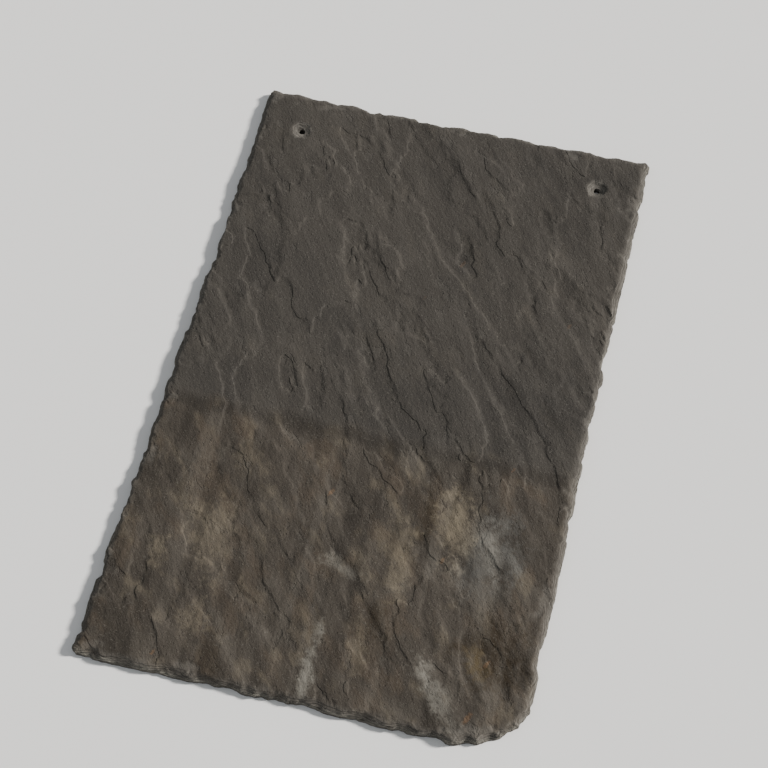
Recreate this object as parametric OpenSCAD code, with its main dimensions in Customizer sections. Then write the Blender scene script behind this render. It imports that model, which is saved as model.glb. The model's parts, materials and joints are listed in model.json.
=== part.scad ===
// Natural roofing slate for a double-lap roof: one split slab with hand-dressed edges.
//
// X runs across the slate and Y from its tail, the end that shows and sheds the water, to its
// head. Z is up through the thickness, with the weather face on top. The origin is the middle
// of the bed, the flat underside. Sizes are in millimetres.

/* [Slate] */
// Length from tail to head
slate_length = 400; // [250:5:600]
// Width across the slate
slate_width = 250; // [180:5:400]
// Thickness of the split slab
slate_thickness = 7; // [5:0.5:12]

/* [Dressed edges] */
// Greatest reach of the knife's bevel over the weather face
bevel_run = 5; // [2:0.5:7]
// Greatest drop of the bevel down the edge, as a share of the thickness
bevel_drop = 0.5; // [0.2:0.05:0.7]
// Spacing of the knife's bites along an edge
bite_pitch = 21; // [12:1:40]
// Greatest wander of an edge inside its true line
edge_wander = 1.2; // [0:0.1:2]

/* [Corners] */
// Clip at a sound corner
corner_clip = 3; // [2:0.5:5]
// Reach of the broken tail corner across the tail
break_across = 38; // [20:1:60]
// Reach of the broken tail corner up the side
break_along = 28; // [20:1:60]

/* [Split face] */
// Thickness of one leaf of the cleavage
leaf_thickness = 0.5; // [0.2:0.1:0.8]
// Direction of the grain over the face, anticlockwise from X
grain_angle = 122; // [90:1:150]

/* [Nail holes] */
// Diameter of a nail hole
hole_diameter = 4; // [3:0.5:6]
// Distance of each hole from the head
hole_from_head = 30; // [20:1:60]
// Distance of each hole from its side
hole_from_side = 30; // [20:1:60]
// Width of the spall that the punch lifts round a hole
spall_diameter = 12; // [8:0.5:16]
// Depth of the spall
spall_depth = 1.8; // [1:0.1:3]

/* [Hook seat] */
// Wire diameter of the hook that holds the tail
hook_wire = 3; // [2.5:0.1:4]
// Reach of the hook up the weather face
hook_reach = 36; // [20:1:50]
// Depth that the wire has worn into the slate
hook_wear = 0.5; // [0.2:0.1:0.8]

/* [Hidden] */

$fn = 48;
half_width = slate_width / 2;
half_length = slate_length / 2;
point_spacing = 6;
long_run = 60; // an edge at least this long has the full wander
wire_sides = 12;
past = 1; // how far a cut runs past the face that it opens

// A sound corner keeps only this share of the bevel, so that the bevels of its two edges meet.
corner_bevel = 0.45;

// The break has worn to a flat round, which runs from the tail to the side of the slate.
break_turn = 22.5;
break_flat = 0.07;
BREAK = [for (turn = [0:break_turn:90])
    [half_width - break_across, -half_length + break_along]
        + (1 - break_flat * sin(2 * turn)) * [break_across * sin(turn), -break_along * cos(turn)]];

// The straight runs of the outline go from each of these corners to the next, anticlockwise.
CORNERS = [
    [-half_width + corner_clip, -half_length],
    each BREAK,
    [half_width, half_length - corner_clip],
    [half_width - corner_clip, half_length],
    [-half_width + corner_clip, half_length],
    [-half_width, half_length - corner_clip],
    [-half_width, -half_length + corner_clip],
];
TAIL_RUN = norm(CORNERS[1] - CORNERS[0]);

// Where leaves of the cleavage have lifted off the face: the middle of each scar as shares of
// the width and length, its length along the grain and its breadth in millimetres, and how
// many leaves are gone.
LEAF_SCARS = [
    [-0.36, -0.30, 150, 62, 1],
    [0.33, -0.34, 120, 56, 1],
    [0.36, -0.37, 58, 30, 2],
    [0.04, 0.03, 170, 48, 1],
    [0.42, 0.14, 110, 60, 1],
    [-0.44, 0.20, 90, 46, 1],
    [-0.02, 0.36, 110, 34, 1],
];
scar_points = 40;

// How far an edge lies inside its true line, at this distance along a run of this length. A
// short run, such as one facet of the break, wanders less.
function edge_inset(along, run) =
    edge_wander * min(1, run / long_run) * sin(180 * along / run)
        * (0.5 + 0.3 * sin(3.1 * along) + 0.2 * sin(8.3 * along + 40));

// One bite of the knife, from 0 where two bites meet to 1 in the middle
function bite(along) =
    let (turn = (along + 5 * sin(3.7 * along)) / bite_pitch, share = turn - floor(turn))
    1 - pow(2 * share - 1, 2);

function inward(direction) = [-direction[1], direction[0]] / norm(direction);

// The points of one run, each with its share of the full bevel
function run_points(from, to) =
    let (run = norm(to - from), steps = max(1, ceil(run / point_spacing)), way = (to - from) / run)
    [for (i = [0:steps - 1])
        let (along = run * i / steps)
        [from + along * way + edge_inset(along, run) * inward(way),
         i == 0 ? corner_bevel : 0.5 + 0.5 * bite(along)]];

OUTLINE = [for (i = [0:len(CORNERS) - 1]) each run_points(CORNERS[i], CORNERS[(i + 1) % len(CORNERS)])];
COUNT = len(OUTLINE);

function outline_point(i) = OUTLINE[(i + COUNT) % COUNT][0];

// Three rings of points, one above another: the foot of the edge, the foot of the bevel and
// the bevel's meeting with the face.
FOOT_RING = [for (i = [0:COUNT - 1]) [each outline_point(i), 0]];
ARRIS_RING = [for (i = [0:COUNT - 1])
    [each outline_point(i), slate_thickness * (1 - bevel_drop * OUTLINE[i][1])]];
FACE_RING = [for (i = [0:COUNT - 1])
    let (way = outline_point(i + 1) - outline_point(i - 1))
    [each outline_point(i) + bevel_run * OUTLINE[i][1] * inward(way), slate_thickness]];

// The two triangles between each point of one ring, its neighbour and the ring above
function band(lower, upper) = [for (i = [0:COUNT - 1])
    let (next = (i + 1) % COUNT)
    each [[lower + i, upper + next, lower + next], [lower + i, upper + i, upper + next]]];

// The slab as it leaves the slater's bench
module dressed_slab() {
    polyhedron(
        points = concat(FOOT_RING, ARRIS_RING, FACE_RING, [[0, 0, 0], [0, 0, slate_thickness]]),
        faces = concat(
            [for (i = [0:COUNT - 1]) [3 * COUNT, i, (i + 1) % COUNT]],
            band(0, COUNT),
            band(COUNT, 2 * COUNT),
            [for (i = [0:COUNT - 1]) [3 * COUNT + 1, 2 * COUNT + (i + 1) % COUNT, 2 * COUNT + i]]
        ),
        convexity = 4
    );
}

// The space of the leaves that have lifted off one patch of the face
module leaf_scar(scar) {
    outline = [for (i = [0:scar_points - 1])
        let (
            turn = 360 * i / scar_points,
            ragged = 1 + 0.14 * sin(2 * turn + 7 * scar[2]) + 0.09 * sin(5 * turn + scar[3])
        )
        [scar[2] / 2 * ragged * cos(turn), scar[3] / 2 * ragged * sin(turn)]];
    translate([scar[0] * slate_width, scar[1] * slate_length, slate_thickness - leaf_thickness * scar[4]])
        rotate(grain_angle)
            linear_extrude(leaf_thickness * scar[4] + past)
                polygon(outline);
}

// A punched nail hole, with the spall that it lifts from the weather face
module nail_hole() {
    translate([0, 0, -past])
        cylinder(d = hole_diameter, h = slate_thickness + 2 * past);
    spall_flare = (spall_diameter - hole_diameter) / spall_depth;
    translate([0, 0, slate_thickness - spall_depth])
        cylinder(d1 = hole_diameter, d2 = spall_diameter + spall_flare * past, h = spall_depth + past);
}

// The wire hook has worn a groove down the tail's edge and a shallower one up the face.
module hook_seat() {
    edge = -half_length + edge_inset(half_width - corner_clip, TAIL_RUN);
    translate([0, edge + hook_wear - hook_wire / 2, -past])
        cylinder(d = hook_wire, h = slate_thickness + 2 * past, $fn = wire_sides);
    translate([0, edge - past, slate_thickness - hook_wear / 2 + hook_wire / 2])
        rotate([-90, 0, 0])
            cylinder(d = hook_wire, h = hook_reach + past, $fn = wire_sides);
}

module slate() {
    color([0.33, 0.31, 0.28])
        difference() {
            dressed_slab();
            for (scar = LEAF_SCARS)
                leaf_scar(scar);
            for (side = [-1, 1])
                translate([side * (half_width - hole_from_side), half_length - hole_from_head, 0])
                    nail_hole();
            hook_seat();
        }
}

slate();
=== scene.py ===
"""A natural roofing slate, split by hand and weathered on a roof, lying on a studio floor.

The slab's outline, its dressed edges and its nail holes are read from the frame. A fine shell is
laid over them, a Geometry Nodes tree splits and chips that shell as the stone would, and one
procedural material gives it the finish. Lengths are in metres.
"""

import functools
import json
import math
import random
from types import SimpleNamespace

import bmesh
import bpy
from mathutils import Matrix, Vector, noise
from mathutils.bvhtree import BVHTree
from mathutils.geometry import delaunay_2d_cdt
from mathutils.kdtree import KDTree


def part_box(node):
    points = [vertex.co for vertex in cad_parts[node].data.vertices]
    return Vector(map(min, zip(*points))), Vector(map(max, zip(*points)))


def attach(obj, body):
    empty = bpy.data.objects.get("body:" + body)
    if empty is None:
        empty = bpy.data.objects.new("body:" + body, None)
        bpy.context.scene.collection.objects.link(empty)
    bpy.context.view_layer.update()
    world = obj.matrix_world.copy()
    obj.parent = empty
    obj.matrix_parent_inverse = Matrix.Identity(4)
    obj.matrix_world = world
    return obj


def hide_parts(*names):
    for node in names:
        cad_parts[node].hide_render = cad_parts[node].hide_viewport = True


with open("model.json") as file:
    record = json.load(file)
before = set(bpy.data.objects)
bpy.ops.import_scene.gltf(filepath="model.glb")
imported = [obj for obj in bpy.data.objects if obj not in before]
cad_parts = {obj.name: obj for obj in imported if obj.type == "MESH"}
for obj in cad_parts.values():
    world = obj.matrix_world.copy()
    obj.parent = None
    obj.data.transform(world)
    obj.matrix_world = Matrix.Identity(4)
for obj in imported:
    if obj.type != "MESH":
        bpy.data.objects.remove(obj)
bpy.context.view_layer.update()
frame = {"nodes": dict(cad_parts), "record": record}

MM = 0.001
DEG = math.pi / 180

# The slab, from the frame
low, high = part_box("slate")
WIDTH = high.x - low.x
LENGTH = high.y - low.y
THICKNESS = high.z - low.z
nails = next(mount for mount in frame["record"]["mounts"] if mount["name"] == "nail_holes")
HOLE_RADIUS = nails["dims"]["hole_r_mm"] * MM
HOLE_OFFSET = nails["dims"]["spacing_x_mm"] * MM / 2
HOLES = [Vector((nails["pos_m"][0] + side * HOLE_OFFSET, nails["pos_m"][1])) for side in (-1, 1)]

# How it lay on the roof: the tail shows up to the margin line, and the rest is under the laps.
HEAD_LAP = 75 * MM
MARGIN_LINE = low.y + (LENGTH - HEAD_LAP) / 2

# The stone's grain, anticlockwise from the width
GRAIN = 122 * DEG


# ---------------------------------------------------------------- the slab's shape in the frame

WELD = 0.002 * MM  # points nearer together than this are one point
TOUCH = 0.01 * MM  # a point nearer to the bed or a wall than this is on it
CORNER_EASINGS = 2
WAY_REACH = 2  # the outline's direction is taken over this many steps either side


def cad_mesh(node):
    """The node's mesh with its loose triangles joined"""
    mesh = bmesh.new()
    mesh.from_mesh(node.data)
    bmesh.ops.remove_doubles(mesh, verts=mesh.verts, dist=WELD)
    return mesh


def bed_outline(mesh):
    """The outer edge of the bed as a closed loop of plan points, anticlockwise"""
    flat = {face for face in mesh.faces if all(abs(v.co.z - low.z) < TOUCH for v in face.verts)}
    follows = {}
    for edge in mesh.edges:
        if sum(face in flat for face in edge.link_faces) == 1:
            a, b = edge.verts
            follows.setdefault(a, []).append(b)
            follows.setdefault(b, []).append(a)
    # The point furthest out towards one corner is on the outer edge, not on a nail hole.
    start = min(follows, key=lambda v: v.co.x + v.co.y)
    loop = [start]
    ahead = follows[start][0]
    while ahead is not start:
        before = loop[-1]
        loop.append(ahead)
        ahead = next(v for v in follows[ahead] if v is not before)
    points = [v.co.xy.copy() for v in loop]
    turn = sum(a.cross(b) for a, b in zip(points, points[1:] + points[:1]))
    return points if turn > 0 else points[::-1]


def evenly_spaced(loop, step):
    """Points at equal steps round a closed loop, with its small corners eased"""
    ends = loop[1:] + loop[:1]
    total = sum((b - a).length for a, b in zip(loop, ends))
    count = round(total / step)
    spaced = []
    walked = 0.0
    for a, b in zip(loop, ends):
        run = (b - a).length
        while len(spaced) < count and len(spaced) * total / count <= walked + run:
            spaced.append(a.lerp(b, (len(spaced) * total / count - walked) / run))
        walked += run
    for _ in range(CORNER_EASINGS):
        spaced = [
            (spaced[i - 1] + 2 * point + spaced[(i + 1) % count]) / 4
            for i, point in enumerate(spaced)
        ]
    return spaced


def inward_ways(loop):
    """At each point of an anticlockwise loop, the unit vector that points into it"""
    ways = []
    for i in range(len(loop)):
        along = loop[(i + WAY_REACH) % len(loop)] - loop[i - WAY_REACH]
        ways.append(Vector((-along.y, along.x)).normalized())
    return ways


# ---------------------------------------------------------------- the fine shell

# Spacings of the shell's points: round the rim and the nail holes, and over each face
RIM_STEP = 0.75 * MM
HOLE_STEP = 0.7 * RIM_STEP
FACE_STEP = 1.6 * MM
BED_STEP = 2.9 * MM

# Closer rings of points, by their distance from the rim or from a nail hole's edge
FACE_INSETS = [inset * MM for inset in (0.6, 1.2, 1.8, 2.5, 3.2, 4.0, 4.9, 6.0, 7.2)]
FACE_HOLE_RINGS = [ring * MM for ring in (0.6, 1.2, 1.9, 2.7, 3.6, 4.6, 5.8)]
BED_INSETS = [inset * MM for inset in (0.9, 2.4)]
BED_HOLE_RINGS = [ring * MM for ring in (1.2, 1.9)]
HOLE_STEP_GROWTH = 0.1  # a ring's steps widen by this share of its distance from the hole
ROOM_KEPT = 0.93  # a point of a ring needs this share of its inset clear all round

# The loose grid inside the rings. Its gaps and looseness are shares of its spacing.
GRID_LOOSENESS = 0.22
GRID_RIM_GAP = 0.7
GRID_HOLE_GAP = 0.6
SEED = 4

# Rows of faces up the walls
WALL_ROWS = 11
HOLE_ROWS = 5

# Heights are read straight down, from this far above the slab. On a wall's edge the reading is
# moved off it: in from the rim by the inset, and out from a nail hole's middle by the spread.
READING_LIFT = 10 * MM
READING_INSET = 0.05 * MM
READING_SPREAD = 1.03

# How the lips of the CAD's leaf scars fray, clear of the bevel and the spalls
LIP_CLEARANCE = 8 * MM
LIP_FRAY = 9 * MM
LIP_SCALE = 22 * MM
LIP_OCTAVES = 4


def circle(middle, radius, step):
    count = round(2 * math.pi * radius / step)
    turns = [2 * math.pi * i / count for i in range(count)]
    return [middle + radius * Vector((math.cos(turn), math.sin(turn))) for turn in turns]


def scattered(spacing, dice):
    """A loose triangular grid over the slab"""
    row_gap = spacing * math.sqrt(3) / 2
    loose = GRID_LOOSENESS * spacing
    for row in range(round(LENGTH / row_gap)):
        for column in range(round(WIDTH / spacing)):
            yield Vector((
                low.x + (column + 0.5 * (row % 2)) * spacing + dice.uniform(-loose, loose),
                low.y + row * row_gap + dice.uniform(-loose, loose),
            ))


class Plan:
    """One face of the shell in plan: its points and triangles, and what each point knows of the rim"""

    def __init__(self, outline, insets, hole_rings, spacing, dice):
        self.outline = outline
        self.ways_in = inward_ways(outline)
        self.rim = KDTree(len(outline))
        for i, point in enumerate(outline):
            self.rim.insert(point.to_3d(), i)
        self.rim.balance()

        self.points = list(outline)
        self.hole_loops = []
        self.ring_holes(hole_rings)
        self.follow_rim(insets)
        self.fill(spacing, insets[-1], hole_rings[-1], dice)
        self.triangles = self.triangulated()

        nearest = [self.nearest_rim(point) for point in self.points]
        self.rim_distance = [distance for _, distance in nearest]
        self.inward = [self.ways_in[i] for i, _ in nearest]

    def nearest_rim(self, point):
        """The number of the nearest point of the outline, and its distance"""
        _, i, distance = self.rim.find(point.to_3d())
        return i, distance

    def ring_holes(self, rings):
        """Each nail hole's own edge, then rings round it"""
        for hole in HOLES:
            first = len(self.points)
            self.points += circle(hole, HOLE_RADIUS, HOLE_STEP)
            self.hole_loops.append(list(range(first, len(self.points))))
        for ring in rings:
            for hole in HOLES:
                self.points += circle(hole, HOLE_RADIUS + ring, HOLE_STEP + HOLE_STEP_GROWTH * ring)

    def follow_rim(self, insets):
        """Rings that follow the outline, without the points that crowd together inside its corners"""
        for inset in insets:
            ring = [point + inset * way for point, way in zip(self.outline, self.ways_in)]
            self.points += [p for p in ring if self.nearest_rim(p)[1] > ROOM_KEPT * inset]

    def fill(self, spacing, last_inset, last_ring, dice):
        """The loose grid, clear of the rings"""
        clear_of_rim = last_inset + GRID_RIM_GAP * spacing
        clear_of_hole = HOLE_RADIUS + last_ring + GRID_HOLE_GAP * spacing
        for point in scattered(spacing, dice):
            i, distance = self.nearest_rim(point)
            inside = (point - self.outline[i]).dot(self.ways_in[i]) > 0
            off_holes = all((point - hole).length > clear_of_hole for hole in HOLES)
            if inside and distance > clear_of_rim and off_holes:
                self.points.append(point)

    def triangulated(self):
        """Triangles over all the points, with the nail holes left open"""
        rim_loop = list(range(len(self.outline)))
        hole_edges = [edge for loop in self.hole_loops for edge in zip(loop, loop[1:] + loop[:1])]
        _, _, triangles, originals, _, _ = delaunay_2d_cdt(
            self.points, hole_edges, [rim_loop], 1, WELD
        )
        kept = []
        for triangle in triangles:
            corners = [originals[i][0] for i in triangle]
            middle = sum((self.points[i] for i in corners), Vector((0, 0))) / 3
            if all((middle - hole).length > HOLE_RADIUS for hole in HOLES):
                kept.append(corners)
        return kept


def face_height(surface, plan, i):
    """The weather face's height at one point of its plan.

    Away from the walls the reading strays, so that the lips of the leaf scars fray.
    """
    point = plan.points[i]
    hole = min(HOLES, key=lambda middle: (middle - point).length)
    from_hole = (point - hole).length
    if i < len(plan.outline):
        point = point + READING_INSET * plan.inward[i]
    elif from_hole < HOLE_RADIUS + TOUCH:
        point = hole + READING_SPREAD * (point - hole)
    else:
        room = min(plan.rim_distance[i], from_hole) - LIP_CLEARANCE
        stray = min(max(room, 0.0), LIP_FRAY)
        frayed = noise.turbulence_vector(point.to_3d() / LIP_SCALE, LIP_OCTAVES, False)
        point = point + stray * frayed.xy
    above = Vector((*point, high.z + READING_LIFT))
    hit = surface.ray_cast(above, Vector((0, 0, -1)))[0]
    return high.z if hit is None else hit.z


class Shell:
    """Points and faces, with what each point knows of its place on the slab.

    'rim' is its distance from the edge, 'crown' the height of the weather face there, 'level' runs
    from 0 at the bed to 1 at that face, and 'inward' points into the slab.
    """

    def __init__(self):
        self.places = []
        self.faces = []
        self.rim = []
        self.crown = []
        self.level = []
        self.inward = []

    def put(self, place, rim, crown, level, inward):
        """Adds a point, and gives its number"""
        self.places.append(place)
        self.rim.append(rim)
        self.crown.append(crown)
        self.level.append(level)
        self.inward.append(inward)
        return len(self.places) - 1

    def wall(self, lower, upper, rows, outwards=True):
        """A wall of quads between two loops of point numbers"""
        rings = [lower]
        for row in range(1, rows):
            share = row / rows
            rings.append([
                self.put(
                    self.places[a].lerp(self.places[b], share),
                    self.rim[a], self.crown[b], share, self.inward[a],
                )
                for a, b in zip(lower, upper)
            ])
        rings.append(upper)
        for under, over in zip(rings, rings[1:]):
            for k in range(len(lower)):
                after = (k + 1) % len(lower)
                quad = (under[k], under[after], over[after], over[k])
                self.faces.append(quad if outwards else quad[::-1])

    def as_object(self, name):
        mesh = bpy.data.meshes.new("slate shell")
        mesh.from_pydata(self.places, [], self.faces)
        to_holes = [min((place.xy - hole).length for hole in HOLES) for place in self.places]
        marks = {
            "rim": self.rim,
            "hole": [distance - HOLE_RADIUS for distance in to_holes],
            "crown": self.crown,
            "level": self.level,
        }
        for mark, values in marks.items():
            mesh.attributes.new(mark, "FLOAT", "POINT").data.foreach_set("value", values)
        inward = mesh.attributes.new("inward", "FLOAT_VECTOR", "POINT")
        inward.data.foreach_set("vector", [part for way in self.inward for part in way])
        mesh.update()
        obj = bpy.data.objects.new(name, mesh)
        bpy.context.scene.collection.objects.link(obj)
        return obj


def build_shell(node):
    """A closed shell over the CAD slab, fine enough to carry the stone's relief"""
    dice = random.Random(SEED)
    noise.seed_set(SEED)
    cad = cad_mesh(node)
    surface = BVHTree.FromBMesh(cad)
    outline = evenly_spaced(bed_outline(cad), RIM_STEP)
    cad.free()
    face = Plan(outline, FACE_INSETS, FACE_HOLE_RINGS, FACE_STEP, dice)
    bed = Plan(outline, BED_INSETS, BED_HOLE_RINGS, BED_STEP, dice)

    shell = Shell()
    for i, point in enumerate(face.points):
        place = Vector((*point, face_height(surface, face, i)))
        shell.put(place, face.rim_distance[i], place.z, 1.0, face.inward[i].to_3d())
    first = len(shell.places)
    for i, point in enumerate(bed.points):
        place = Vector((*point, low.z))
        shell.put(place, bed.rim_distance[i], high.z, 0.0, bed.inward[i].to_3d())
    shell.faces += [tuple(triangle) for triangle in face.triangles]
    shell.faces += [tuple(first + i for i in reversed(triangle)) for triangle in bed.triangles]

    rim_loop = list(range(len(outline)))
    shell.wall([first + i for i in rim_loop], rim_loop, WALL_ROWS)
    for face_loop, bed_loop in zip(face.hole_loops, bed.hole_loops):
        shell.wall([first + i for i in bed_loop], face_loop, HOLE_ROWS, outwards=False)
    return shell.as_object("riven_slate")


# ---------------------------------------------------------------- node trees

class Wiring:
    """Adds nodes to one tree and joins them up. A value is a number or another node's output."""

    def __init__(self, tree):
        self.tree = tree

    def feed(self, socket, value):
        if isinstance(value, bpy.types.NodeSocket):
            self.tree.links.new(value, socket)
        else:
            socket.default_value = value

    def node(self, kind, inputs=None, **settings):
        node = self.tree.nodes.new(kind)
        for name, value in settings.items():
            setattr(node, name, value)
        for name, value in (inputs or {}).items():
            self.feed(node.inputs[name], value)
        return node

    def group(self, tree, inputs):
        """The outputs of a shared node group"""
        return self.node("ShaderNodeGroup", inputs, node_tree=tree).outputs

    # Numbers

    def math(self, operation, *values, clamp=False):
        inputs = dict(enumerate(values))
        return self.node("ShaderNodeMath", inputs, operation=operation, use_clamp=clamp).outputs[0]

    def plus(self, *values):
        return functools.reduce(functools.partial(self.math, "ADD"), values)

    def minus(self, a, b):
        return self.math("SUBTRACT", a, b)

    def times(self, *values):
        return functools.reduce(functools.partial(self.math, "MULTIPLY"), values)

    def over(self, a, b):
        return self.math("DIVIDE", a, b)

    def larger(self, a, b):
        return self.math("MAXIMUM", a, b)

    def rest_of(self, share):
        return self.minus(1.0, share)

    def floor(self, value):
        return self.math("FLOOR", value)

    def fraction(self, value):
        return self.math("FRACT", value)

    def ramp(self, value, start, end, low_value=0.0, high_value=1.0):
        """A smooth change from one value to another, as the input rises from start to end"""
        return self.node("ShaderNodeMapRange", {
            "Value": value, "From Min": start, "From Max": end,
            "To Min": low_value, "To Max": high_value,
        }, interpolation_type="SMOOTHSTEP").outputs[0]

    def fall(self, value, start, end):
        """A smooth fall from 1 to 0"""
        return self.ramp(value, start, end, 1.0, 0.0)

    def treads(self, value, riser):
        """The value made into flat treads. This far along each, a riser climbs to the next."""
        return self.plus(self.floor(value), self.ramp(self.fraction(value), riser, 1.0))

    def blend(self, share, a, b):
        """A mix of two numbers"""
        return self.node("ShaderNodeMix", {0: share, 2: a, 3: b}, data_type="FLOAT").outputs[0]

    # Vectors and colours

    def vector(self, operation, a, b):
        second = "Scale" if operation == "SCALE" else 1
        return self.node("ShaderNodeVectorMath", {0: a, second: b}, operation=operation).outputs[0]

    def length(self, vector):
        return self.node("ShaderNodeVectorMath", {0: vector}, operation="LENGTH").outputs["Value"]

    def combine(self, x, y, z):
        return self.node("ShaderNodeCombineXYZ", {"X": x, "Y": y, "Z": z}).outputs[0]

    def split(self, vector):
        return self.node("ShaderNodeSeparateXYZ", {0: vector}).outputs

    def turned(self, vector, angle):
        """A place turned about the upright axis"""
        inputs = {"Vector": vector, "Angle": angle}
        return self.node("ShaderNodeVectorRotate", inputs, rotation_type="Z_AXIS").outputs[0]

    def tint(self, share, a, b):
        """A mix of two colours"""
        return self.node("ShaderNodeMix", {0: share, 6: a, 7: b}, data_type="RGBA").outputs[2]

    # Patterns, whose size is about that of one blot or cell

    def noise(self, vector, size=1.0, detail=2.0, roughness=0.5, distortion=0.0, output="Fac"):
        return self.node("ShaderNodeTexNoise", {
            "Vector": vector, "Scale": 1 / size, "Detail": detail,
            "Roughness": roughness, "Distortion": distortion,
        }, noise_dimensions="3D").outputs[output]

    def astray(self, vector, size, detail=2.0, roughness=0.5):
        """Noise that wanders either side of 0"""
        return self.minus(self.noise(vector, size, detail, roughness), 0.5)

    def cells(self, vector, size=1.0, output="Distance"):
        return self.node("ShaderNodeTexVoronoi", {
            "Vector": vector, "Scale": 1 / size,
        }, feature="F1", voronoi_dimensions="3D").outputs[output]


# ---------------------------------------------------------------- relief

# The sizes that the stone's relief follows, which are the tree's inputs. A level is the depth at
# which the relief begins to cut into the slab, which stays flat where the relief is shallower.
RELIEF = {
    "Grain angle": GRAIN,
    "Swell depth": 1.1 * MM,
    "Swell length": 110 * MM,
    "Swell width": 70 * MM,
    "Ripple depth": 1.5 * MM,
    "Ripple length": 34 * MM,
    "Ripple width": 11 * MM,
    "Leaf thickness": 0.36 * MM,
    "Leaf length": 133 * MM,
    "Leaf width": 57 * MM,
    "Leaf count": 9.0,
    "Face level": 2.43 * MM,
    "Bevel width": 6.325 * MM,
    "Flake size": 9 * MM,
    "Flake depth": 1.5 * MM,
    "Spall reach": 14 * MM,
    "Spall depth": 0.7 * MM,
    "Lamina": 1.05 * MM,
    "Bite depth": 2.2 * MM,
    "Wall roughness": 0.9 * MM,
    "Bed ripple depth": 0.9 * MM,
    "Bed ripple length": 45 * MM,
    "Bed ripple width": 18 * MM,
    "Bed leaf thickness": 0.3 * MM,
    "Bed leaf length": 110 * MM,
    "Bed leaf width": 60 * MM,
    "Bed leaf count": 8.0,
    "Bed level": 1.305 * MM,
}


class ReliefWiring(Wiring):
    """The tree that works the shell, with its inputs and what the shell's points know"""

    def __init__(self):
        super().__init__(bpy.data.node_groups.new("riven slate", "GeometryNodeTree"))
        sockets = self.tree.interface
        sockets.new_socket("Geometry", in_out="INPUT", socket_type="NodeSocketGeometry")
        for name in RELIEF:
            sockets.new_socket(name, in_out="INPUT", socket_type="NodeSocketFloat")
        sockets.new_socket("Geometry", in_out="OUTPUT", socket_type="NodeSocketGeometry")
        self.size = self.node("NodeGroupInput").outputs
        self.place = self.node("GeometryNodeInputPosition").outputs[0]
        self.x, self.y, _ = self.split(self.place)
        self.plan = self.combine(self.x, self.y, 0.0)
        self.in_grain = self.turned(self.plan, self.times(self.size["Grain angle"], -1.0))
        self.rim = self.stored("rim")
        self.hole = self.stored("hole")
        self.crown = self.stored("crown")
        self.level = self.stored("level")
        self.inward = self.stored("inward", "FLOAT_VECTOR")
        self.on_bed = self.math("COMPARE", self.level, 0.0, 0.001)

    def stored(self, name, kind="FLOAT"):
        inputs = {"Name": name}
        return self.node("GeometryNodeInputNamedAttribute", inputs, data_type=kind).outputs[0]

    def by_side(self, value, bed_value):
        """The value, with another in its place on the bed"""
        return self.blend(self.on_bed, value, bed_value)

    def along_grain(self, name, start, **pattern):
        """Noise as long and wide as the inputs of that name say. Its start sets it apart."""
        reach = self.combine(self.size[name + " length"], self.size[name + " width"], 1.0)
        counted = self.vector("DIVIDE", self.in_grain, reach)
        return self.noise(self.vector("ADD", counted, start), **pattern)


def split_face(w):
    """The weather face: broad swells, ripples along the grain, and leaves that end in thin lips"""
    swells = w.along_grain("Swell", (0.4, 5.2, 2.0), detail=1.0)
    ripples = w.along_grain("Ripple", (3.1, 7.7, 0.0), detail=2.5, roughness=0.45, distortion=0.35)
    leaves = w.along_grain("Leaf", (8.3, 1.9, 4.0), detail=5.0, roughness=0.52, distortion=0.15)

    # The ripples are livelier towards the right of the slate.
    across = w.plus(w.x, w.times(w.astray(w.plan, 60 * MM), 150 * MM))
    lively = w.ramp(across, 0.0, 85 * MM, 0.62, 1.10)
    ripples = w.plus(w.times(w.minus(ripples, 0.5), lively), 0.5)

    leaves = w.times(leaves, w.size["Leaf count"])
    lip = w.ramp(w.fraction(leaves), 0.86, 1.0)
    depth = w.plus(
        w.times(ripples, w.size["Ripple depth"]),
        w.times(swells, w.size["Swell depth"]),
        w.times(w.plus(w.floor(leaves), lip), w.size["Leaf thickness"]),
    )
    # The cut begins gently, in a smooth maximum, which stands a little too high where it begins.
    depth = w.math("SMOOTH_MAX", w.minus(depth, w.size["Face level"]), 0.0, 0.5 * MM)
    depth = w.minus(depth, 0.08 * MM)
    return SimpleNamespace(ripples=ripples, leaves=leaves, lip=lip, depth=depth)


def worked_edge(w):
    """Flake scars on the bevel and round the nail holes, and spalls that run further in"""
    fray = w.astray(w.plan, 5 * MM, 3.0, 0.6)
    bevel = w.plus(w.size["Bevel width"], w.times(fray, 7 * MM))
    near_rim = w.fall(w.over(w.rim, bevel), 0.10, 1.1)
    near_hole = w.fall(w.plus(w.hole, w.times(fray, 6 * MM)), 3.2 * MM, 5.2 * MM)

    # The scars are shallow bowls that meet in ridges.
    wander = w.vector("SCALE", w.noise(w.plan, 6 * MM, output="Color"), 3 * MM)
    wandered = w.vector("ADD", w.plan, wander)
    cell = w.cells(w.vector("SCALE", wandered, w.over(1.0, w.size["Flake size"])))
    bowl = w.math("SUBTRACT", 1.0, w.math("POWER", cell, 1.6), clamp=True)

    ragged = w.times(w.astray(w.plan, 9 * MM, 3.0), 0.9)
    within_reach = w.fall(w.plus(w.over(w.rim, w.size["Spall reach"]), ragged), 0.62, 0.70)
    here_and_there = w.ramp(w.noise(w.plan, 30 * MM, 3.0, 0.6), 0.55, 0.62)
    return SimpleNamespace(
        near_rim=near_rim, worked=w.larger(near_rim, near_hole), bowl=bowl,
        spall=w.times(within_reach, here_and_there),
    )


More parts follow.
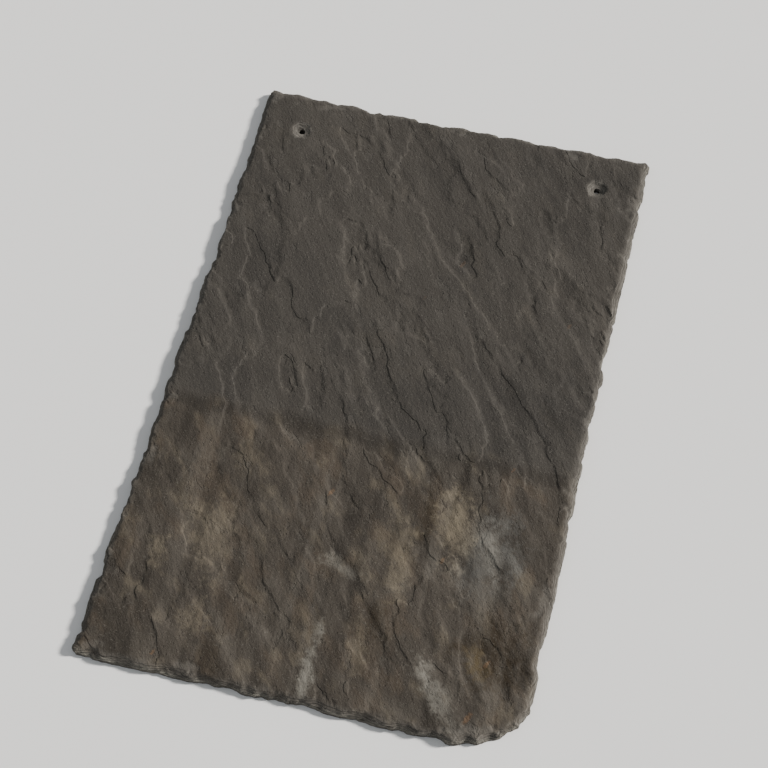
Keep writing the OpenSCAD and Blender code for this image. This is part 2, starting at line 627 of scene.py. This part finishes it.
def stepped_top(w, face, edge):
    """The height of the weather side, and that height counted in laminae"""
    lamina = w.size["Lamina"]
    flake = w.times(edge.bowl, edge.worked, w.size["Flake depth"])
    split = w.times(face.depth, w.rest_of(w.times(edge.worked, 0.7)))
    spall = w.times(edge.spall, w.size["Spall depth"])
    top = w.minus(w.crown, w.plus(flake, split, spall))

    # On the bevel the break steps down from lamina to lamina.
    uneven = w.times(w.noise(w.plan, 13 * MM, 3.0), lamina, 2.4)
    laminae = w.over(w.plus(top, uneven), lamina)
    stepped = w.minus(w.times(w.treads(laminae, 0.72), lamina), uneven)
    top = w.blend(w.times(edge.near_rim, 0.6), top, stepped)
    return w.math("MINIMUM", top, high.z), laminae


def split_bed(w):
    """The bed: lower relief, and its arris stays sharp"""
    ripples = w.along_grain("Bed ripple", (1.2, 3.3, 9.0), detail=3.0)
    leaves = w.along_grain("Bed leaf", (6.6, 2.1, 7.0), detail=4.0)
    leaves = w.times(leaves, w.size["Bed leaf count"])
    depth = w.plus(
        w.times(ripples, w.size["Bed ripple depth"]),
        w.times(w.treads(leaves, 0.75), w.size["Bed leaf thickness"]),
    )
    depth = w.larger(w.minus(depth, w.size["Bed level"]), 0.0)
    return SimpleNamespace(
        ripples=ripples, leaves=leaves, depth=w.times(depth, w.ramp(w.rim, 0.0, 4 * MM))
    )


def inward_bite(w, edge):
    """The edge in plan: the knife's bites, and laminae that stand out or fall back on the wall"""
    bites = w.ramp(w.noise(w.plan, 15 * MM), 0.42, 0.72)
    bites = w.times(bites, w.size["Bite depth"], w.fall(w.rim, 0.0, 9 * MM))
    layered = w.noise(
        w.vector("DIVIDE", w.place, (6 * MM, 6 * MM, 0.9 * MM)), detail=3.0, roughness=0.6
    )
    nibbles = w.noise(w.place, 2.6 * MM)
    ragged = w.plus(layered, w.times(edge.bowl, 0.6), w.times(nibbles, 0.6))
    ragged = w.times(ragged, w.size["Wall roughness"], w.fall(w.rim, 0.0, 2 * MM))
    return w.vector("SCALE", w.inward, w.plus(bites, ragged))


def relief_tree(material):
    """Splits and chips the shell, and stores on it what the finish follows"""
    w = ReliefWiring()
    face = split_face(w)
    edge = worked_edge(w)
    bed = split_bed(w)
    top, laminae = stepped_top(w, face, edge)

    height = w.by_side(w.times(w.level, top), bed.depth)
    moved = w.vector("ADD", w.combine(w.x, w.y, height), inward_bite(w, edge))

    flow = w.size["Geometry"]
    for name, value in (
        ("leaf", w.by_side(face.leaves, bed.leaves)),
        ("lip", w.by_side(w.times(face.lip, w.rest_of(edge.worked)), 0.0)),
        ("hollow", w.by_side(w.over(face.depth, 2 * MM), 0.0)),
        ("ripple", w.by_side(face.ripples, bed.ripples)),
        ("chipped", w.by_side(edge.worked, w.fall(w.rim, 0.3 * MM, 1.8 * MM))),
        ("laminae", laminae),
        ("spall", w.by_side(edge.spall, 0.0)),
    ):
        inputs = {"Geometry": flow, "Name": name, "Value": value}
        keep = w.node("GeometryNodeStoreNamedAttribute", inputs, data_type="FLOAT", domain="POINT")
        flow = keep.outputs[0]
    for kind, inputs in (
        ("GeometryNodeSetPosition", {"Position": moved}),
        ("GeometryNodeSetShadeSmooth", {"Shade Smooth": True}),
        ("GeometryNodeRealizeInstances", {}),
        ("GeometryNodeSetMaterial", {"Material": material}),
    ):
        flow = w.node(kind, {"Geometry": flow, **inputs}).outputs[0]
    w.feed(w.node("NodeGroupOutput").inputs[0], flow)
    return w.tree


SHARP_FROM = 48 * DEG  # faces that meet at more than this are not shaded as one


def rive(shell, tree):
    """Works the shell as the tree says, and leaves it as a plain mesh"""
    modifier = shell.modifiers.new("relief", "NODES")
    modifier.node_group = tree
    for item in tree.interface.items_tree:
        if item.in_out == "INPUT" and item.name in RELIEF:
            modifier[item.identifier] = RELIEF[item.name]
    graph = bpy.context.evaluated_depsgraph_get()
    mesh = bpy.data.meshes.new_from_object(
        shell.evaluated_get(graph), preserve_all_data_layers=True, depsgraph=graph
    )
    shell.modifiers.clear()
    shell.data = mesh
    mesh.set_sharp_from_angle(angle=SHARP_FROM)
    return shell


# ---------------------------------------------------------------- finish

# Colours of the stone, of what has weathered it and of painted shade and highlight, as linear red,
# green, blue
GROUND_DARK = (0.0188, 0.0153, 0.0114, 1)
GROUND_LIGHT = (0.067, 0.0580, 0.0475, 1)
WARM = (0.064, 0.049, 0.0345, 1)
COVERED = (0.0365, 0.0365, 0.0353, 1)
FRESH = (0.150, 0.140, 0.124, 1)
CREST = (0.160, 0.145, 0.122, 1)
# A dark colour for dirt, also used for painted shade in the ripple troughs and along the margin line
DIRT_AND_SHADE = (0.011, 0.0092, 0.0072, 1)
BUFF = (0.178, 0.150, 0.106, 1)
OCHRE = (0.130, 0.098, 0.050, 1)
BROWN = (0.026, 0.0185, 0.0098, 1)
PALE = (0.178, 0.168, 0.144, 1)
BLUISH = (0.098, 0.098, 0.091, 1)
RUST = (0.125, 0.074, 0.040, 1)

# Stains on the part that shows: place across from the middle and up from the tail, reach along
# and across its own line, that line's angle from the width, strength and colour. Lengths are in
# millimetres and angles in degrees.
STAINS = [
    (86, 104, 34, 20, 100, 0.75, BLUISH),
    (96, 58, 30, 21, 100, 1.30, BROWN),
    (45, 126, 24, 7, 92, 1.00, BROWN),
    (33, 56, 14, 10, 110, 1.00, BROWN),
    (-50, 15, 9, 24, 5, 0.70, BROWN),
    (-69, 85, 30, 14, 115, 0.60, BUFF),
    (-97, 70, 10, 7, 100, 0.65, BUFF),
    (-63, 35, 13, 9, 95, 0.60, BUFF),
    (61, 126, 26, 12, 96, 0.95, BUFF),
    (36, 98, 27, 8, 98, 0.70, BUFF),
    (26, 37, 15, 7, 100, 0.50, BUFF),
    (90, 47, 10, 6, 110, 0.60, OCHRE),
    (86, 109, 23, 5, 105, 0.60, PALE),
    (72, 24, 27, 7, 128, 0.90, PALE),
    (5, 84, 14, 5, 165, 0.80, PALE),
    (3, 22, 27, 5, 90, 1.20, PALE),
]

# The line that the ticks of rust run along, anticlockwise from the width
TICK_LINE = 68 * DEG

# Heights of the relief that is finer than the mesh
GRIT_HEIGHT = 0.55 * MM
LEAF_DROP = 0.42 * MM
SCAB_DEPTH = 0.28 * MM
LAMINA_STEP = 0.8 * MM
LAYER_HEIGHT = 0.7 * MM

# How far apart in the noise two leaves that meet read their tones
LEAF_TONE_STEP = 3.7


def shader_group(name, inputs, fill):
    """A node group whose inputs are given as name: value, and whose outputs are what fill makes"""
    tree = bpy.data.node_groups.new(name, "ShaderNodeTree")
    for socket, value in inputs.items():
        kind = "NodeSocketVector" if isinstance(value, tuple) else "NodeSocketFloat"
        tree.interface.new_socket(socket, in_out="INPUT", socket_type=kind).default_value = value
    w = Wiring(tree)
    made = fill(w, w.node("NodeGroupInput").outputs)
    for socket in made:
        tree.interface.new_socket(socket, in_out="OUTPUT", socket_type="NodeSocketFloat")
    sink = w.node("NodeGroupOutput")
    for socket, value in made.items():
        w.feed(sink.inputs[socket], value)
    return tree


def grain_group():
    """Cloudy marks drawn out along the grain"""
    def fill(w, given):
        counted = w.vector("DIVIDE", w.turned(given["Vector"], -GRAIN), given["Size"])
        cloud = w.noise(counted, 1.0, given["Detail"], 0.55, 0.2)
        return {"Mask": w.ramp(cloud, given["From"], given["To"])}
    return shader_group("grain marks", {
        "Vector": (0, 0, 0), "Size": (40 * MM, 12 * MM, 20 * MM), "Detail": 4.0,
        "From": 0.4, "To": 0.6,
    }, fill)


def stain_group():
    """One stain with a frayed, streaky edge, which breaks where one leaf gives way to another"""
    def fill(w, given):
        away = w.vector("SUBTRACT", given["Vector"], given["Centre"])
        reach = w.length(w.vector("DIVIDE", w.turned(away, given["Angle"]), given["Reach"]))
        edge = w.plus(
            reach,
            w.times(w.astray(given["Vector"], 11 * MM, 5.0, 0.62), 2.8),
            w.times(w.astray(given["Vector"], 2.4 * MM, 3.0, 0.6), 1.2),
            w.times(given["Break"], 1.1),
        )
        return {"Mask": w.times(w.fall(edge, 0.25, 1.30), given["Strength"])}
    return shader_group("stain", {
        "Vector": (0, 0, 0), "Centre": (0, 0, 0), "Angle": 0.0, "Reach": (10 * MM, 10 * MM, 1.0),
        "Strength": 1.0, "Break": 0.0,
    }, fill)


def tick_group():
    """Short ticks of rust where specks of iron ore in the stone have weathered out"""
    def fill(w, given):
        spaced = w.vector("DIVIDE", w.turned(given["Vector"], -TICK_LINE), given["Spacing"])
        lot = w.split(w.cells(spaced, output="Color"))
        chosen = w.math("GREATER_THAN", lot[0], given["Scarcity"])
        size = w.plus(w.times(lot[1], 0.09), 0.05)
        fray = w.times(w.astray(given["Vector"], 1.2 * MM), 0.14)
        reach = w.over(w.plus(w.cells(spaced), fray), size)
        return {"Mask": w.times(w.fall(reach, 0.45, 1.0), chosen)}
    return shader_group("rust ticks", {
        "Vector": (0, 0, 0), "Spacing": (34 * MM, 14 * MM, 1.0), "Scarcity": 0.84,
    }, fill)


def grit_group():
    """The stone's own fine roughness: hackles along the grain, grit and pits"""
    def fill(w, given):
        in_grain = w.turned(given["Vector"], -GRAIN)
        hackle = w.noise(w.vector("DIVIDE", in_grain, (4.6 * MM, 1.9 * MM, 1.9 * MM)), 1.0, 4.0, 0.6)
        rough = w.noise(given["Vector"], 2.2 * MM, 4.0, 0.62)
        grit = w.noise(given["Vector"], 1.0 * MM, 3.0, 0.62)
        off_pit = w.ramp(w.cells(given["Vector"], 3.2 * MM), 0.10, 0.24)
        height = w.plus(
            w.times(hackle, 0.7), w.times(rough, 0.6), w.times(grit, 0.55), w.times(off_pit, 0.2)
        )
        return {"Height": height, "Grit": grit, "Pit": w.rest_of(off_pit)}
    return shader_group("grit", {"Vector": (0, 0, 0)}, fill)


class SlateFinish(Wiring):
    """The slate's finish. Its colour starts as bare stone, and each step lays more over it."""

    def __init__(self, tree):
        super().__init__(tree)
        self.place = self.node("ShaderNodeTexCoord").outputs["Object"]
        self.grain_marks = grain_group()
        self.fine = self.group(grit_group(), {"Vector": self.place})
        self.leaves = self.mark("leaf")
        self.laminae = self.mark("laminae")
        self.chipped = self.mark("chipped")
        self.from_bed = self.ramp(self.mark("level"), 0.05, 0.60)
        self.crest = self.fall(self.mark("ripple"), 0.28, 0.50)
        self.trough = self.ramp(self.mark("ripple"), 0.50, 0.72)
        self.hair = self.along_grain(9 * MM, 2.6 * MM, 0.34, 0.66)
        this_leaf = self.times(self.floor(self.leaves), LEAF_TONE_STEP)
        self.leaf_tone = self.noise(self.combine(this_leaf, 0.0, 0.0), detail=0.0)

        # The laps covered the upper slate, down to a frayed line, and the whole bed.
        frayed = self.times(self.astray(self.place, 16 * MM, 3.0), 9 * MM)
        self.up_slate = self.plus(self.split(self.place)[1], frayed)
        under_laps = self.ramp(self.up_slate, MARGIN_LINE - 5 * MM, MARGIN_LINE + 13 * MM)
        self.covered = self.larger(under_laps, self.rest_of(self.from_bed))
        self.shows = self.rest_of(self.covered)

    def mark(self, name):
        """What the relief's tree has stored on the slate under this name"""
        return self.node("ShaderNodeAttribute", attribute_name=name).outputs["Fac"]

    def along_grain(self, length, width, start, end, detail=4.0):
        """Marks of about this length and width. They begin at start and are full at end."""
        return self.group(self.grain_marks, {
            "Vector": self.place, "Size": (length, width, 20 * MM), "Detail": detail,
            "From": start, "To": end,
        })["Mask"]

    def by_exposure(self, covered, showing):
        """One strength where the stone was covered, and another where it shows"""
        return self.blend(self.shows, covered, showing)

    def lay(self, share, colour):
        self.colour = self.tint(share, self.colour, colour)

    def bare_stone(self):
        """The stone's own colour, a little different on each leaf"""
        self.tone = self.plus(
            self.times(self.along_grain(75 * MM, 42 * MM, 0.32, 0.68), 0.42),
            self.times(self.along_grain(21 * MM, 10 * MM, 0.30, 0.70), 0.20),
            self.times(self.leaf_tone, 0.26),
            self.times(self.hair, 0.12),
        )
        self.colour = self.tint(self.tone, GROUND_DARK, GROUND_LIGHT)

    def exposure(self):
        """Covered stone is cooler, darker and cleaner, and what shows has warm patches."""
        self.lay(self.times(self.covered, 0.38), COVERED)
        warm = self.along_grain(34 * MM, 17 * MM, 0.50, 0.64, 5.0)
        self.lay(self.times(warm, self.shows, 0.50), WARM)

    def weathering(self):
        """Clouds and stains, which take best on the crests of the ripples"""
        takes = self.plus(self.times(self.crest, 0.35), self.times(self.hair, 0.30), 0.45)
        clouds = self.along_grain(23 * MM, 13 * MM, 0.53, 0.70, 5.0)
        self.clouds = self.times(clouds, takes, self.by_exposure(0.06, 0.40))
        self.lay(self.clouds, BUFF)
        stain = stain_group()
        for across, up, reach, breadth, angle, strength, colour in STAINS:
            mask = self.group(stain, {
                "Vector": self.place, "Centre": (across * MM, low.y + up * MM, 0.0),
                "Angle": -angle * DEG, "Reach": (reach * MM, breadth * MM, 1.0),
                "Strength": strength, "Break": self.minus(self.leaf_tone, 0.5),
            })["Mask"]
            self.lay(self.times(mask, takes, self.from_bed), colour)

    def rain_silt_and_painted_shadow(self):
        """Faint runs that rain has drawn down the slate, and a dark band along the margin line that is
        partly silt and partly painted shadow of the course above
        """
        streaks = self.vector("DIVIDE", self.place, (11 * MM, 170 * MM, 50 * MM))
        runs = self.noise(streaks, detail=3.0, roughness=0.55)
        self.lay(self.times(self.shows, self.ramp(runs, 0.52, 0.66), 0.34), DIRT_AND_SHADE)
        self.lay(self.times(self.shows, self.fall(runs, 0.34, 0.46), 0.12), CREST)
        # Painted shadow: the dark band along the margin line stands partly for silt and partly for the
        # shadow of the course that lay above
        off_line = self.math("ABSOLUTE", self.minus(self.up_slate, MARGIN_LINE + 2 * MM))
        self.lay(self.times(self.fall(off_line, 1 * MM, 7 * MM), self.from_bed, 0.40), DIRT_AND_SHADE)

    def dust_dirt_and_painted_shading(self):
        """Painted highlight and shade on the relief: ripple crests and leaf lips painted lighter,
        partly as dry dust, troughs painted darker, partly as dirt, and the face darker where it is cut
        deeper
        """
        # Painted highlight on the ripple crests and the lips of the leaves, partly standing for dust;
        # painted shade in the troughs, partly standing for dirt
        self.lay(self.times(self.crest, self.by_exposure(0.08, 0.21)), CREST)
        self.lay(self.times(self.trough, self.by_exposure(0.16, 0.32)), DIRT_AND_SHADE)
        self.lay(self.times(self.mark("hollow"), 0.30), DIRT_AND_SHADE)
        self.lay(self.times(self.mark("lip"), 0.08), CREST)

    def scabs(self):
        """Here and there a scab of the top leaf has come away, with crisp edges."""
        scabs = self.along_grain(17 * MM, 9 * MM, 0.630, 0.648, 5.0)
        self.scab = self.times(scabs, self.rest_of(self.chipped))
        self.lay(self.times(self.scab, 0.06), FRESH)

    def broken_edges(self):
        """Stone that broke later. Its leaves end in small steps, fresher than their treads."""
        risers = self.ramp(self.fraction(self.laminae), 0.68, 0.84)
        patchy = self.ramp(self.noise(self.place, 7 * MM, 4.0, 0.65), 0.38, 0.62)
        on_edge = self.times(self.chipped, self.plus(self.times(risers, patchy, 0.50), 0.48))
        self.broken = self.larger(on_edge, self.times(self.mark("spall"), 0.28))
        self.lay(self.broken, FRESH)

        # The arris is painted pale, partly as wear and partly as a painted highlight along the edge,
        # and dirt lies in the layers of the edge.
        arris = self.times(
            self.fall(self.mark("rim"), 0.8 * MM, 2.6 * MM), self.ramp(self.mark("level"), 0.55, 0.95)
        )
        worn_and_highlit = self.ramp(self.noise(self.place, 14 * MM, 4.0, 0.6), 0.36, 0.60, 0.20, 0.85)
        # Painted highlight: the arris is painted pale, partly standing for wear
        self.lay(self.times(arris, worn_and_highlit), PALE)
        thin = self.vector("DIVIDE", self.place, (8 * MM, 8 * MM, 0.45 * MM))
        self.layers = self.noise(thin, detail=3.0, roughness=0.6)
        self.lay(self.times(self.chipped, self.ramp(self.layers, 0.50, 0.64), 0.5), DIRT_AND_SHADE)

    def specks(self):
        """Ticks of rust, dirt in the pits and pale grit"""
        ticks = self.group(tick_group(), {"Vector": self.place})["Mask"]
        self.lay(self.times(ticks, self.by_exposure(0.20, 0.48)), RUST)
        self.lay(self.times(self.fine["Pit"], 0.22), DIRT_AND_SHADE)
        self.lay(self.times(self.ramp(self.fine["Grit"], 0.57, 0.70), 0.24), PALE)

    def height(self):
        """Grit, the crisp ends of leaves and scabs, and the steps and layers of the broken edge"""
        crisp = self.ramp(self.noise(self.place, 24 * MM), 0.38, 0.60, 0.50, 0.93)
        leaf_end = self.ramp(self.fraction(self.leaves), crisp, 0.99)
        leaf_end = self.times(leaf_end, self.rest_of(self.chipped))
        in_lamina = self.fraction(self.laminae)
        step = self.minus(self.ramp(in_lamina, 0.68, 1.0), in_lamina)
        step = self.times(step, self.ramp(self.mark("hole"), 6 * MM, 9 * MM, 0.25, 1.0))
        return self.plus(
            self.times(self.fine["Height"], GRIT_HEIGHT),
            self.times(self.plus(self.floor(self.leaves), leaf_end), -LEAF_DROP),
            self.times(self.scab, -SCAB_DEPTH),
            self.times(step, self.chipped, LAMINA_STEP),
            self.times(self.layers, self.chipped, LAYER_HEIGHT),
        )

    def roughness(self):
        """Dull all over, and duller where it is pale, weathered or broken"""
        paleness = self.plus(self.times(self.tone, 0.5), self.times(self.fine["Grit"], 0.5))
        stone = self.ramp(paleness, 0.3, 0.7, 0.76, 0.92)
        return self.plus(stone, self.times(self.plus(self.clouds, self.broken), 0.25))


def new_material(name):
    material = bpy.data.materials.new(name)
    material.use_nodes = True
    material.node_tree.nodes.clear()
    return material


def shade(w, inputs):
    """The material's own shader"""
    shader = w.node("ShaderNodeBsdfPrincipled", inputs)
    w.feed(w.node("ShaderNodeOutputMaterial").inputs["Surface"], shader.outputs[0])


def slate_material():
    material = new_material("weathered slate")
    w = SlateFinish(material.node_tree)
    w.bare_stone()
    w.exposure()
    w.weathering()
    w.rain_silt_and_painted_shadow()
    w.dust_dirt_and_painted_shading()
    w.scabs()
    w.broken_edges()
    w.specks()
    bump = w.node("ShaderNodeBump", {"Strength": 1.0, "Distance": 1.0, "Height": w.height()})
    shade(w, {
        "Base Color": w.colour, "Roughness": w.roughness(), "Normal": bump.outputs[0],
        "Specular IOR Level": 0.20,
    })
    return material


# ---------------------------------------------------------------- studio

FLOOR_REACH = 40.0
FLOOR_COLOUR = (0.82, 0.82, 0.81, 1)
SKY_COLOUR = (0.96, 0.98, 1.0, 1)
SKY_GLOW = 0.36
HORIZON_GLOW = 1.2  # as bright as the lit floor, so that the two run together
LENS = 85  # the camera's focal length in millimetres


def studio_floor():
    material = new_material("studio floor")
    shade(Wiring(material.node_tree), {"Base Color": FLOOR_COLOUR, "Roughness": 0.8})
    corners = [
        (x * FLOOR_REACH, y * FLOOR_REACH, low.z) for x, y in ((-1, -1), (1, -1), (1, 1), (-1, 1))
    ]
    mesh = bpy.data.meshes.new("floor")
    mesh.from_pydata(corners, [], [(0, 1, 2, 3)])
    mesh.materials.append(material)
    obj = bpy.data.objects.new("studio_floor", mesh)
    bpy.context.scene.collection.objects.link(obj)


def aim(obj, azimuth, elevation, distance, target):
    """Places an object by its bearing from the target in degrees, and turns it to the target"""
    flat = math.cos(elevation * DEG)
    way = Vector((
        flat * math.sin(azimuth * DEG), -flat * math.cos(azimuth * DEG), math.sin(elevation * DEG)
    ))
    obj.location = target + distance * way
    obj.rotation_euler = way.to_track_quat("Z", "Y").to_euler()


def sun(name, azimuth, elevation, spread, power, colour):
    """A sun light. A wide spread gives it soft shadows."""
    data = bpy.data.lights.new(name, "SUN")
    data.angle = spread * DEG
    data.energy = power
    data.color = colour
    obj = bpy.data.objects.new(name, data)
    bpy.context.scene.collection.objects.link(obj)
    aim(obj, azimuth, elevation, distance=2.0, target=Vector((0, 0, 0)))


def sky():
    world = bpy.data.worlds.new("studio")
    world.use_nodes = True
    w = Wiring(world.node_tree)
    background = world.node_tree.nodes["Background"]
    w.feed(background.inputs["Color"], SKY_COLOUR)
    upward = w.split(w.node("ShaderNodeTexCoord").outputs["Generated"])[2]
    w.feed(background.inputs["Strength"], w.ramp(upward, 0.02, 0.16, HORIZON_GLOW, SKY_GLOW))
    bpy.context.scene.world = world


def camera():
    data = bpy.data.cameras.new("camera")
    data.lens = LENS
    obj = bpy.data.objects.new("camera", data)
    bpy.context.scene.collection.objects.link(obj)
    middle = Vector((0, 4 * MM, THICKNESS / 2))
    aim(obj, azimuth=14, elevation=60, distance=1.06, target=middle)
    bpy.context.scene.camera = obj


studio_floor()
sun("key", azimuth=112, elevation=29, spread=8, power=7.5, colour=(1.0, 0.965, 0.92))
sun("fill", azimuth=-70, elevation=42, spread=60, power=0.3, colour=(0.82, 0.91, 1.0))
sky()
camera()

slate = rive(build_shell(frame["nodes"]["slate"]), relief_tree(slate_material()))
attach(slate, "root")
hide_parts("slate")
